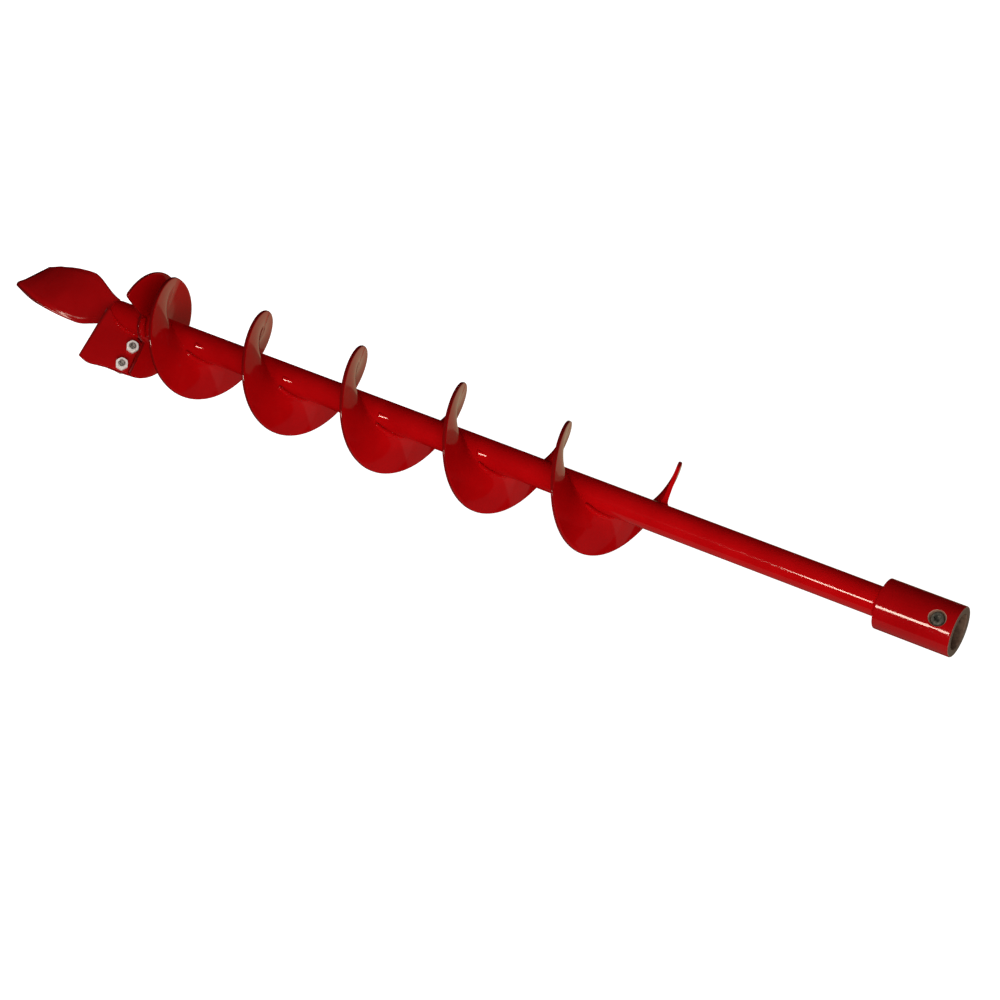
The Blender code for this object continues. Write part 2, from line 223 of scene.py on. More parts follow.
def screw_axes():
    """The start on the shaft's axis, and the screw's two cross ways and its way out."""
    a = np.radians(SCREW_ANGLE)
    out = np.array([np.cos(a), np.sin(a), 0.0])
    up = np.array([0.0, 0.0, 1.0])
    return np.array([0.0, 0.0, SCREW_LEVEL]), np.cross(up, out), up, out


def thread_wave(level, a, pitch):
    """Nought to one: a triangle wave of height against angle, once in every pitch."""
    return np.abs(((level / pitch - a / (2 * np.pi)) % 1.0) * 2 - 1)


def set_screw():
    """Rings along the screw: cup point, thread, rim, then the hexagon socket's wall and floor."""
    a = round_angles(96)
    foot = SCREW_TOP - SCREW_LONG
    level = np.linspace(foot + 0.6, SCREW_TOP - 0.5, 44)[:, None]
    cup = [(0.4, foot + 0.9), (1.3, foot + 0.8), (2.5, foot + 0.02), (2.9, foot)]
    cup += [(SCREW_R - 0.75, foot + 0.5)]
    rim = [(SCREW_R - 0.5, SCREW_TOP - 0.3), (SCREW_R - 0.8, SCREW_TOP), (2.75, SCREW_TOP)]
    cup, rim = np.array(cup), np.array(rim)
    socket = hexagon(SOCKET_FLATS, a)[None, :]
    r = [cup[:, :1] + 0 * a, SCREW_R - 0.62 * thread_wave(level, a, SCREW_PITCH), rim[:, :1] + 0 * a]
    r += [socket + 0.12, socket, socket, socket * 0.1]
    z = np.concatenate([cup[:, 1], level[:, 0], rim[:, 1], SCREW_TOP + np.array([0.0, -0.25, -3.1, -3.4])])
    return skin("clamp_screw", on_axes(rings(np.concatenate(r), z[:, None], a), *screw_axes()))


def climb(a, rise):
    """Height of a spiral's middle at an angle in degrees: the rise is its climb in one turn."""
    return FIRST_SEAM_LEVEL + rise * (a - SEAM) / 360.0


def wound_sheet(name, turns, rise, outer, seams):
    """A thin rounded section carried up a spiral: height = rise x angle / 360. Its upright
    thickness grows as the root gets steeper, a fillet flares where it meets the tube, and each
    seam is a low bell-shaped bead. The sheet bends a little from true, as a drawn washer does."""
    root, tip = [0.0, 0.012, 0.03, 0.06, 0.1], [0.972, 0.99, 1.0]
    share = np.concatenate([root, np.linspace(0.16, 0.94, 14), tip])
    a = np.radians(turns)[:, None]
    r = TUBE_R - 0.12 + (outer[:, None] - TUBE_R + 0.12) * share
    half = SHEET / 2 * np.sqrt(1 + (rise / (2 * np.pi * r)) ** 2)
    close = np.clip(1 - ((outer[:, None] - r) / 0.8), 0, 1)
    half = half * (0.25 + 0.75 * np.sqrt(1 - close**2))
    half = half + 1.3 * np.exp(-np.clip(r - TUBE_R, 0, None) / 0.9)
    for seam in seams:
        off = (a - np.radians(seam)) * r
        half = half + 0.32 * np.exp(-((off / 1.5) ** 2)) * (1 + 0.25 * np.sin(r * 3.1)) * (close < 0.9)
    middle = climb(turns, rise)[:, None] + 0 * r
    bend = ripple(rings(r, middle, a), size=0.22, reach=26.0, seed=7) * (r - TUBE_R) / 28.0
    upper, lower = [rings(r, middle + bend + side * half, a) for side in (1, -1)]
    section = np.concatenate([upper, lower[:, ::-1]], 1)
    # The edge mark along the rim: the enamel paints a band of shade along it and chips it.
    return skin(name, section, marks={"edge": np.concatenate([close, close[:, ::-1]], 1)})


def flight_turn(number):
    """One turn of the spiral. The last stops just short of its seam, its corner drawn in by a
    cubic curve."""
    first, steps = SEAM + 360.0 * (number - 1), 241
    if number < TURNS:
        turns = np.linspace(first, first + 360.0, steps)
        outer = np.full(steps, FLIGHT_R)
        return wound_sheet(f"spiral_{number}", turns, PITCH, outer, [first, first + 360.0])
    turns = np.linspace(first, first + 359.2, steps)
    outer = FLIGHT_R - 3.0 * ramp((turns - first - 354.5) / 4.7) ** 3
    return wound_sheet(f"spiral_{number}", turns, PITCH, outer, [first])


def flat_turn():
    """The first turn climbs very little and laps under its own end. Over the chip gap only a
    collar round the tube is left, and the sheet's corners there are rounded by a square-root curve
    of the distance to the cut."""
    low, high = CHIP_GAP
    near, corner_r = 6.0, 2.2
    finer = near * np.linspace(0, 1, 18)[1:] ** 0.5
    coarser = near * (1 - np.linspace(1, 0, 18)[1:] ** 0.5)
    spans = [np.linspace(SEAM - 360 - FLAT_LAP, low - near, 90), low - near + finer]
    spans += [np.linspace(low + 0.02, high - 0.02, 60), high + coarser, np.linspace(high + 6.5, SEAM, 130)]
    turns = np.unique(np.concatenate(spans))
    away = np.minimum(np.abs(turns - low), np.abs(turns - high)) * np.pi / 180 * FLIGHT_R
    corner = corner_r - corner_r * np.sqrt(ramp(1 - (1 - ramp(away / corner_r)) ** 2))
    outer = np.where((turns > low) & (turns < high), COLLAR_R, FLIGHT_R - corner)
    return wound_sheet("first_turn", turns, FLAT_RISE, outer, [SEAM])


def bead(name, first, last, rise, size=2.1):
    """A weld bead carried along the root: a round section whose size swells with each ripple
    of the weld and tapers at both ends as a half circle does."""
    steps = 150
    turns = np.linspace(first, last, steps)
    share = np.linspace(-1, 1, steps)
    r = TUBE_R + size * 0.62
    slope = np.arctan(rise / (2 * np.pi * r))
    path = np.radians(turns - first) * r / np.cos(slope)
    swell = size * (0.2 + 0.8 * np.sqrt(ramp(1 - share**2))) * (1 + 0.07 * np.sin(path * 4.4))
    lift = (SHEET / 2 + size * 0.55) / np.cos(slope)
    a = np.radians(turns)
    outward = np.stack([np.cos(a), np.sin(a), 0 * a], 1)
    ahead = [-np.sin(a) * np.cos(slope), np.cos(a) * np.cos(slope), np.full(steps, np.sin(slope))]
    ahead = np.stack(ahead, 1)
    over = np.cross(outward, ahead)
    centre = outward * r + np.stack([0 * a, 0 * a, climb(turns, rise) + lift], 1)
    spin = round_angles(28)
    ring = np.cos(spin)[:, None] * outward[:, None] + np.sin(spin)[:, None] * over[:, None]
    arc = 0.35 * np.sin(path * 4.4)[:, None, None] * np.cos(spin - 0.8)[None, :, None] * ahead[:, None]
    return skin(name, centre[:, None] + swell[:, None, None] * ring + arc)


def weld_tail(name, angle, level, slope):
    """The end of a weld run under the paint: a low ridge up the tube whose height falls evenly
    along it, by the slope, and with the fourth power of the distance across it."""
    long = 9.0
    u = np.linspace(0, 1, 48)[:, None]
    v = np.linspace(-1, 1, 25)[None, :]
    crest = slope * long * (1 - u) * ease(u * 4.0) + 0.25 * slope * long * u * (1 - u)
    turn = np.radians(angle) + 2.3 * (1 - 0.35 * u) * v / TUBE_R
    z = level + long * (u - 0.55) + 0 * turn
    top, under = [rings(r, z, turn) for r in (TUBE_R - 0.1 + crest * (1 - v**4), TUBE_R - 0.3)]
    return skin(name, np.concatenate([top, under[:, ::-1]], 1))


def crease_bead():
    """A lumpy weld bead along the crease between the blade's face and the shaft: rings round the
    ellipse in which the blade's plane cuts the shaft, swelling with a sum of sine waves."""
    start, along, up, out = blade_frame()
    y = np.linspace(7.0, 33.0, 180)
    t = np.linspace(-1, 1, 180)
    centre = start + shaft_side(y, 0 * y, 0.3)[:, None] * along + y[:, None] * up + 0.2 * out
    ahead = np.gradient(centre, axis=0)
    ahead /= np.linalg.norm(ahead, axis=1)[:, None]
    side = np.cross(out, ahead)
    lumps = 1 + 0.12 * np.sin(y * 2.9) + 0.1 * np.sin(y * 1.3)
    size = 1.7 * np.sqrt(np.clip(1 - t**4, 0.01, 1)) * lumps
    spin = round_angles(28)
    ring = np.cos(spin)[:, None] * side[:, None] + np.sin(spin)[:, None] * np.cross(ahead, side)[:, None]
    return skin("blade_weld", centre[:, None] + size[:, None, None] * ring)


def hub_fillet():
    """A weld ring under the hub: a hollow fillet section carried round the tube, its size rippled
    by two sine waves of the angle, its root buried in the tube."""
    size = 3.4
    a = round_angles(360)
    t = np.linspace(0, np.pi / 2, 14)[:, None]
    grow = size * (1 + 0.055 * np.sin(a * 46) + 0.05 * np.sin(3 * a + 1))
    root = np.full((1, len(a)), TUBE_R - 0.4)
    r = np.concatenate([root, TUBE_R + grow * (1 - np.sin(t)) ** 0.85, root])
    drop = np.concatenate([0 * root - 0.15, grow * (1 - np.cos(t)) ** 0.85, 0 * root + size])
    return skin("hub_fillet", rings(r, -HUB_LENGTH - drop, a), loop=True)


def plate(name, outline, thick, level, bevel, soft):
    """A drilled plate on the blade plane: its outline and holes run down the edge through a lip
    rounded by the soft radius, and both faces are filled between the outline and the holes. bevel
    gives how far each point of the lower outline is drawn in."""
    holes = [np.array(at) for at in BOLTS.values()]
    loops = [outline] + [at + BOLT_HOLE_R * circle(40) for at in holes]
    quarter = np.linspace(0, np.pi / 2, 4)
    inset = np.concatenate([soft * (1 - np.sin(quarter)), soft * (1 - np.cos(quarter))])
    drop = np.concatenate([soft * (1 - np.cos(quarter)), thick - soft * (1 - np.sin(quarter))])
    points, faces, base = [], [], 0
    for number, loop in enumerate(loops):
        ahead, back = np.roll(loop, -1, 0), np.roll(loop, 1, 0)
        way = (ahead - back) / np.linalg.norm(ahead - back, axis=1)[:, None]
        inward = np.stack([-way[:, 1], way[:, 0]], 1) * signed(loop) * (1 if number == 0 else -1)
        rows = loop[None] + inset[:, None, None] * inward[None]
        if number == 0:
            rows[:, :, 1] += bevel(loop)[None] * (drop / thick)[:, None]
        deep = np.broadcast_to(-drop[:, None], rows.shape[:2])
        rows[:, :, 0] = np.maximum(rows[:, :, 0], shaft_side(rows[:, :, 1], deep + level))
        grid = np.concatenate([rows, deep[..., None]], 2)
        faces += (band_faces(len(rows), len(loop)) + base).tolist()
        points.append(grid.reshape(-1, 3))
        base += len(rows) * len(loop)
    starts = np.cumsum([0] + [len(p) for p in points])
    every = np.concatenate(points)
    for row in (0, len(inset) - 1):
        index = [starts[k] + row * len(loop) + np.arange(len(loop)) for k, loop in enumerate(loops)]
        inner = fill_points(every[index[0], :2], holes)
        index_all = np.concatenate([*index, len(every) + np.arange(len(inner))])
        every = np.concatenate([every, np.column_stack([inner, np.full(len(inner), -drop[row])])])
        edges, at = [], 0
        for ring in index:
            edges += [(at + k, at + (k + 1) % len(ring)) for k in range(len(ring))]
            at += len(ring)
        flat = every[index_all, :2]
        kept, _, filled = delaunay_2d_cdt([Vector(p) for p in flat], edges, [], 1, 1e-6)[:3]
        table = index_all[np.linalg.norm(np.array(kept)[:, None] - flat[None], axis=2).argmin(1)]
        inside = [f for f in filled if not in_hole(np.mean([kept[v] for v in f], axis=0), holes)]
        faces += [table[list(f)].tolist() for f in inside if len(set(table[list(f)])) == len(f)]
    placed = on_axes(every + [0.0, 0.0, level], *blade_frame())
    # The edge mark near the ground edge: the enamel paints a band of shade along it and chips it.
    edge = ramp(1 - (every[:, 1] - 0.6) / 3.2)
    return solid(name, placed, faces, {"edge": edge}, 40.0)


def fill_points(loop, holes):
    """A lattice of points inside a closed outline, away from it and from the holes. A point is
    inside when a line drawn from it crosses the outline an odd number of times."""
    step, low, high = 1.7, loop.min(0), loop.max(0)
    x, y = np.meshgrid(np.arange(low[0], high[0], step), np.arange(low[1], high[1], step))
    at = np.stack([x.ravel(), y.ravel()], 1)[:, None]
    a, b = loop[None], np.roll(loop, -1, 0)[None]
    level = (a[..., 1] > at[..., 1]) != (b[..., 1] > at[..., 1])
    rise = np.where(b[..., 1] == a[..., 1], 1.0, b[..., 1] - a[..., 1])
    cross = a[..., 0] + (b[..., 0] - a[..., 0]) * (at[..., 1] - a[..., 1]) / rise
    good = ((level & (at[..., 0] < cross)).sum(1) % 2 == 1) & (np.linalg.norm(at - a, axis=2).min(1) > 0.9)
    for centre in holes:
        good &= np.linalg.norm(at[:, 0] - centre, axis=1) > BOLT_HOLE_R + 0.8
    return at[good, 0]


def circle(count):
    """Points round a circle of radius one."""
    a = round_angles(count)
    return np.stack([np.cos(a), np.sin(a)], 1)


def signed(loop):
    """One for an outline that runs anticlockwise, minus one for the other way."""
    ahead = np.roll(loop, -1, 0)
    return np.sign((loop[:, 0] * ahead[:, 1] - loop[:, 1] * ahead[:, 0]).sum())


def in_hole(at, holes):
    return any(np.hypot(*(at - centre)) < BOLT_HOLE_R for centre in holes)


def shaft_side(y, level, clear=0.35):
    """How far along the edge the round shaft reaches, at a height up the blade and a level below
    its face: the side of an ellipse as wide as the shaft and as long as its radius over the
    cosine of the tilt. Beyond the ellipse's ends it reaches nothing."""
    start, along, up, out = blade_frame()
    r, long = TUBE_R + clear, (TUBE_R + clear) / np.cos(np.radians(BLADE_TILT))
    axis = np.stack([0 * level, 0 * level, (out @ start + level) / out[2]], -1)
    middle = (axis - start) @ up
    inside = 1 - ((y - middle) / long) ** 2
    return np.where(inside > 0, r * np.sqrt(ramp(inside)) - start @ along, NOWHERE)


def cutting_blade():
    """A flat blade with a straight ground edge, a trimmed outer corner and a notch that follows
    the shaft."""
    outer = [(0.3, 0.0), (40.6, 1.0), (41.2, 9.5), (39.2, 15.0), (36.0, 25.5), (33.8, 36.4)]
    outer += [(9.5, 34.0), (0.3, 3.0)]
    outline = resampled(rounded(outer, [0.0, 0.5, 4.0, 4.0, 4.0, 1.6, 0.8, 0.0], 7), 1.0)

    def ground(loop):
        return 4.5 * ramp(1 - loop[:, 1] / 9.0)

    return plate("blade", outline, BLADE_THICK, 0.0, ground, 0.35)


def blade_seat():
    """A flat plate behind the blade, its top end slanted so that it lies level in the bit."""
    lean = SEAT_THICK / np.tan(np.radians(BLADE_TILT))
    outer = [(7.6, 12.0), (37.6, 12.0), (36.6, 20.0), (35.3, 28.0), (34.2, 33.5), (31.8, 40.6), (3.0, 40.6)]
    outline = resampled(rounded(outer, [0.0, 3.0, 3.0, 3.0, 2.5, 0.8, 0.8], 7), 1.0)

    def level_top(loop):
        return lean * ramp((loop[:, 1] - 34.0) / 6.2)

    return plate("seat", outline, SEAT_THICK, -BLADE_THICK - GAP, level_top, 0.4)


def nut(side, at):
    """Rings across a hexagon whose corners are cut by a cone, then a countersunk threaded hole."""
    a = round_angles(96)
    cone = np.array([4.05, 4.25, 4.48, FLATS_CORNER])
    step = np.array([0.0, 0.18, 0.42, 0.7])
    levels = np.concatenate([step, NUT_HIGH - step[::-1]])
    outside = np.minimum(hexagon(FLATS, a)[None, :], np.concatenate([cone, cone[::-1]])[:, None])
    deep = np.linspace(NUT_HIGH - 0.1, 0.1, 40)
    mouth = np.full((1, 96), 3.1)
    r = np.concatenate([outside, mouth, 2.62 + 0.2 * thread_wave(deep[:, None], a, BOLT_PITCH), mouth])
    z = np.concatenate([levels, [NUT_HIGH], deep, [0.0]]) + 0.06
    points = rings(r, z[:, None], a)
    points[..., :2] += at
    return skin(f"nut_{side}", on_axes(points, *blade_frame()), loop=True, sharp=24.0)


def bolt(side, at):
    """A hexagon head with coned corners, a plain neck, then a thread to a rough cut end."""
    a = round_angles(96)
    under, end = -BLADE_THICK - SEAT_THICK - GAP, 5.2
    low = under - 3.5
    cone = np.array([3.9, 4.2, 4.5, FLATS_CORNER, FLATS_CORNER])
    head = np.minimum(hexagon(FLATS, a)[None, :], cone[:, None])
    levels = [low + 0.35, low, low + 0.15, low + 0.4, low + 0.75, under, under, under + 1.4]
    run = np.linspace(under + 1.5, end, 100)
    thread = BOLT_R - 0.34 * thread_wave(run[:, None], a, BOLT_PITCH)
    neck = np.full((2, 96), BOLT_R - 0.05)
    cut_end = np.array([[1.95], [1.1], [0.2]]) + 0 * a
    r = np.concatenate([np.full((1, 96), 0.3), head, neck, thread, cut_end])
    z = np.concatenate([levels, run, [5.5, 5.38, 5.42]])[:, None]
    points = rings(r, z, a)
    points[..., 2] += np.where(z > end + 0.1, ripple(points, size=0.12, reach=0.45, seed=5), 0)
    points[..., :2] += at
    cut = (z > end - 0.2) + 0 * a
    return skin(f"bolt_{side}", on_axes(points, *blade_frame()), marks={"cut": cut}, sharp=24.0)


def fishtail():
    """A flat bar whose half width eases from the neck to its middle, twisted about the shaft by a
    power curve of depth, ground thin at its edges and end, and hollowed between its two prongs by
    a parabola across the bar."""
    depth = np.concatenate([np.linspace(-11.5, 2.2, 8), np.linspace(2.8, POINT_LENGTH, 110)])[:, None]
    across = np.sin(np.linspace(-1, 1, 41) * np.pi / 2)[None, :]
    tang = depth < 2.5

    def late(start):
        """Nought above a depth, then rising evenly to one at the point's end."""
        return ramp((depth - start) / (POINT_LENGTH - start))

    wide = np.where(tang, 6.2, 9.9 + 9.2 * ease((depth - 2.0) / 31.0))
    shift = np.where(tang, 0.0, -2.4 * ramp((depth - 2.0) / 20.7) - 1.5 * late(66.0))
    twist = np.radians(7.0 - 62.0 * late(22.0) ** 1.2)
    thick = np.where(tang, 2.35, 2.5 * (1 - 0.4 * ease(late(71.0))))
    blunt = 1.9 * ease(late(66.0)) * ramp((np.abs(across) - 0.80) / 0.2) ** 2
    level = TUBE_FOOT - depth + 2.6 * late(60.0) ** 2 * (1 - across**2) + blunt
    ground = np.where(tang, 0.0, ease((np.abs(across) * wide - wide + 4.2) / 4.2))
    round_off = np.sqrt(np.clip(1 - ramp((np.abs(across) - 0.965) / 0.035) ** 2, 0.04, 1))
    sides = []
    for side in (1, -1):
        half = side * thick * (1 - 0.5 * ground) * np.where(tang, 1.0, round_off)
        reach = wide * across
        x = shift + reach * np.cos(twist) - half * np.sin(twist)
        y = reach * np.sin(twist) + half * np.cos(twist)
        sides.append(np.stack([x, y, level + 0 * x], -1))
    section = np.concatenate([sides[0], sides[1][:, ::-1]], 1)
    # The edge mark at the end and the ground edges: the enamel paints a band of shade along it and chips
    # it.
    mark = np.where(tang, 0.0, np.maximum(ease(late(79.5)), ground**3 * ease((depth - 40) / 30)))
    return skin("point", section, marks={"edge": np.concatenate([mark, mark[:, ::-1]], 1)}, sharp=38.0)


def end_weld():
    """A domed weld closing the tube's end round the tang: from the middle out its radius follows
    a sine and its depth a cosine, with ripples that run round and outwards."""
    rim = 9.4
    a = round_angles(200)
    s = np.linspace(0, 1, 40)[:, None]
    r = rim * np.sin(s * np.pi / 2) ** 0.9 + 0.02
    drop = 2.6 * np.cos(s * np.pi / 2) ** 0.6 * (1 + 0.06 * np.sin(a * 22 + 5 * s))
    inside = rings(rim + 0 * a, np.full(len(a), TUBE_FOOT + 0.05), a)[None]
    return skin("end_weld", np.concatenate([rings(r, TUBE_FOOT - drop, a), inside]))


# ---------------------------------------------------------------- finishes

class Flow:
    """A value running through a finish. Python's operators add the Math node they name."""

    def __init__(self, finish, socket):
        self.finish, self.socket = finish, socket

    def do(self, operation, other, clamp=False):
        settings = {"operation": operation, "use_clamp": clamp}
        return self.finish.add("ShaderNodeMath", settings, {0: self, 1: other})

    def __add__(self, other):
        return self.do("ADD", other)

    def __sub__(self, other):
        return self.do("SUBTRACT", other)

    def __mul__(self, other):
        return self.do("MULTIPLY", other)

    __radd__, __rmul__ = __add__, __mul__

    def clamped(self):
        """The value held between zero and one."""
        return self.do("ADD", 0.0, clamp=True)

    def step(self, low, high):
        """Zero below low, one above high, smooth between."""
        spread = {"From Min": low, "From Max": high, "Value": self}
        return self.finish.add("ShaderNodeMapRange", {"interpolation_type": "SMOOTHSTEP"}, spread)


class Finish:
    """A material under one name, with its own nodes."""

    def __init__(self, name, **constants):
        self.material = bpy.data.materials.new(name)
        self.material.use_nodes = True
        self.tree = self.material.node_tree
        self.shader = self.tree.nodes["Principled BSDF"]
        for key, value in constants.items():
            self.shader.inputs[key.replace("_", " ")].default_value = value

    def add(self, kind, settings=None, inputs=None, out=0):
        """A node of this kind: its settings first, then the values or links of its sockets."""
        node = self.tree.nodes.new(kind)
        for key, value in (settings or {}).items():
            setattr(node, key, value)
        for key, value in (inputs or {}).items():
            if isinstance(value, Flow):
                self.tree.links.new(value.socket, node.inputs[key])
            else:
                node.inputs[key].default_value = value
        return Flow(self, node.outputs[out])

    def place(self, stretch=None):
        """The place on the object, its three lengths multiplied by the stretch."""
        spot = self.add("ShaderNodeTexCoord", out="Object")
        if stretch is None:
            return spot
        return self.add("ShaderNodeMapping", None, {"Vector": spot, "Scale": stretch})

    def noise(self, scale, detail=3.0, rough=0.55, stretch=None, bend=0.0):
        """Cloudy noise, zero to one, with the scale in features to the metre."""
        spread = {"Vector": self.place(stretch), "Scale": scale, "Detail": detail, "Roughness": rough}
        spread["Distortion"] = bend
        return self.add("ShaderNodeTexNoise", None, spread, "Fac")

    def mark(self, name):
        """A value kept on the mesh's points."""
        return self.add("ShaderNodeAttribute", {"attribute_name": name}, None, "Fac")

    def blend(self, share, first, second):
        """The first colour, turning to the second as the share goes from zero to one."""
        return self.add("ShaderNodeMix", {"data_type": "RGBA"}, {0: share, 6: first, 7: second}, 2)

    def bump(self, height, distance):
        """Relief as tall as the height times the distance, in metres."""
        return self.add("ShaderNodeBump", None, {"Height": height, "Distance": distance})

    def feed(self, **flows):
        """Links each flow to the shader's input of that name, and gives the material."""
        for key, flow in flows.items():
            self.tree.links.new(flow.socket, self.shader.inputs[key.replace("_", " ")])
        return self.material


def rgb(*colour):
    return (*colour, 1.0)


def enamel(name, edge_wear_and_shade=0.0, weld=False, bare_steel_and_rim_highlight=False, painted_shade_scale=1.0, satin=0.0):
    """Baked gloss enamel over steel: deep red that thins and darkens in slow clouds, faint runs,
    orange peel, dust nibs and scuffs. Edge wear paints shade as a dark band along the edge mark
    and chips the paint there, weld roughens it, bare steel shows oiled steel at its mark with a
    painted highlight on the hub's chamfer before it and painted shade in the bore, the shade scale
    darkens the red for parts painted in shade, and satin dulls the gloss."""
    f = Finish(name, Specular_IOR_Level=0.5, IOR=1.5)
    clouds = f.noise(38.0, 4.0, 0.6)
    fine = f.noise(520.0, 3.0, 0.6)
    runs = f.noise(30.0, 3.0, 0.5, stretch=(9.0, 9.0, 1.0))
    # The shade scale darkens the red for parts painted in shade.
    thick, thin = rgb(0.385 * painted_shade_scale, 0.0012, 0.0022), rgb(0.455 * painted_shade_scale, 0.0018, 0.003)
    colour = f.blend(clouds.step(0.3, 0.75), thick, thin)
    colour = f.blend(runs.step(0.45, 0.75) * 0.4, colour, rgb(0.40 * painted_shade_scale, 0.0014, 0.0026))
    nibs = f.noise(1500.0, 1.0, 0.4).step(0.74, 0.80)
    colour = f.blend(nibs * 0.3, colour, rgb(0.22, 0.003, 0.004))
    scuff = f.noise(90.0, 6.0, 0.72, stretch=(1.0, 1.0, 4.0), bend=0.6).step(0.64, 0.8)
    rough = 0.055 + satin + clouds * 0.03 + scuff * 0.09 + fine * 0.02
    slow = f.noise(75.0, 2.0, 0.4)
    height = slow * 0.35 + f.noise(420.0, 1.0, 0.3) * 0.04 + nibs * 0.1
    if weld:
        height = height + f.noise(700.0, 2.0, 0.5) * 0.7
    flows = {"Normal": f.bump(height, 0.000015 if bare_steel_and_rim_highlight else 0.00004)}
    if edge_wear_and_shade:
        edge = f.mark("edge")
        wear = edge * edge_wear_and_shade + f.noise(420.0, 5.0, 0.75) * 0.75
        chips = (wear - 0.72).step(0.0, 0.08)
        # Painted shade: a dark red band along the edge mark, where the rims turn away from the light.
        colour = f.blend(edge.step(0.15, 0.9) * 0.75, colour, rgb(0.085, 0.003, 0.003))
        colour = f.blend((wear - 0.6).step(0.0, 0.1) * 0.7, colour, rgb(0.10, 0.012, 0.010))
        chipped = f.blend(fine, rgb(0.16, 0.13, 0.115), rgb(0.27, 0.24, 0.22))
        colour = f.blend(chips, colour, chipped)
        rough = rough + chips * 0.28
        flows["Metallic"] = chips * 0.6
    if bare_steel_and_rim_highlight:
        mark = f.mark("bare_steel_and_rim_highlight")
        steel_mark = mark.step(0.55, 0.95)
        turned = f.noise(60.0, 4.0, 0.7, stretch=(1.0, 1.0, 26.0))
        oil = f.noise(190.0, 4.0, 0.65).step(0.38, 0.68)
        steel = f.blend(turned, rgb(0.20, 0.14, 0.105), rgb(0.30, 0.215, 0.165))
        steel = f.blend(oil * 0.6, steel, rgb(0.23, 0.145, 0.10))
        # Painted highlight: a pale pinkish-grey line on the hub's outer chamfer stands in for the light the
        # chamfer reflects, partly rubbed paint.
        colour = f.blend(mark.step(0.1, 0.5), colour, rgb(0.44, 0.26, 0.20))
        # Painted shade with oil: the bore, and most of the countersink, are painted darker than the end
        # face, standing in for the shade inside them, varied by oil clouds.
        bore_shade_and_oil = f.blend(oil, rgb(0.23, 0.14, 0.095), rgb(0.11, 0.065, 0.042))
        steel = f.blend(f.mark("bore"), steel, bore_shade_and_oil)
        colour = f.blend(steel_mark, colour, steel)
        rough = rough + steel_mark * (0.2 + turned * 0.14)
        flows["Metallic"] = steel_mark * 0.2
    return f.feed(Base_Color=colour, Roughness=rough.clamped(), **flows)


def zinc(name, cut_end=False):
    """Bright zinc plate: pale grains of slightly different brightness, dulled in spots. A cut
    end is darker, where the plate is broken."""
    f = Finish(name)
    grain = f.add("ShaderNodeTexVoronoi", None, {"Vector": f.place(), "Scale": 1400.0}, "Color")
    value = f.add("ShaderNodeSeparateColor", None, {"Color": grain})
    dull = f.noise(700.0, 5.0, 0.7).step(0.45, 0.75)
    colour = f.blend(value * 0.6, rgb(0.90, 0.84, 0.79), rgb(0.99, 0.95, 0.91))
    colour = f.blend(dull * 0.2, colour, rgb(0.5, 0.45, 0.42))
    if cut_end:
        broken = f.mark("cut")
        crumbs = f.noise(1100.0, 3.0, 0.7).step(0.42, 0.6)
        rough_steel = f.blend(crumbs, rgb(0.045, 0.04, 0.035), rgb(0.40, 0.36, 0.32))
        colour = f.blend(broken, colour, rough_steel)
    rough = 0.26 + value * 0.08 + dull * 0.2
    relief = f.bump(value * 0.3 + dull, 0.00003)
    return f.feed(Base_Color=colour, Roughness=rough, Metallic=value * 0.08, Normal=relief)


def black_oxide():
    """Oiled black oxide: dark steel with brown bloom and bright rubbed spots."""
    f = Finish("black_oxide")
    bloom = f.noise(600.0, 5.0, 0.65).step(0.42, 0.72)
    rub = f.noise(1300.0, 3.0, 0.6).step(0.6, 0.78)
    colour = f.blend(bloom, rgb(0.09, 0.088, 0.07), rgb(0.19, 0.175, 0.14))
    colour = f.blend(rub * 0.6, colour, rgb(0.42, 0.38, 0.34))
    rough, relief = 0.28 + bloom * 0.15, f.bump(bloom, 0.00003)
    return f.feed(Base_Color=colour, Roughness=rough, Metallic=0.4 + rub * 0.2, Normal=relief)


# ---------------------------------------------------------------- the bit

# Painted shade: the tube's and seat's, the cutter's and most of all the hub's enamel are darker copies of
# the sheet's red, scaled down where less light falls on them.
RED = enamel("gloss_enamel", painted_shade_scale=0.93)
RED_EDGED = enamel("gloss_enamel_on_sheet", edge_wear_and_shade=0.19)
RED_WELD = enamel("gloss_enamel_on_weld", weld=True)
RED_CUTTER = enamel("gloss_enamel_on_cutter", edge_wear_and_shade=0.27, painted_shade_scale=0.92, satin=0.1)
RED_HUB = enamel("gloss_enamel_on_hub", bare_steel_and_rim_highlight=True, painted_shade_scale=0.71)
ZINC = zinc("zinc_plate")
ZINC_CUT = zinc("zinc_plate_with_cut_end", cut_end=True)
BLACK = black_oxide()


def dress(piece, finish, body="bit"):
    """Gives the piece its finish and its slot, and lets it ride on a body."""
    piece.data.materials.clear()
    piece.data.materials.append(finish)
    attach(piece, body)


def show(piece, finish, node, body="bit"):
    """The dressed piece stands for its CAD node."""
    dress(piece, finish, body)
    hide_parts(node)


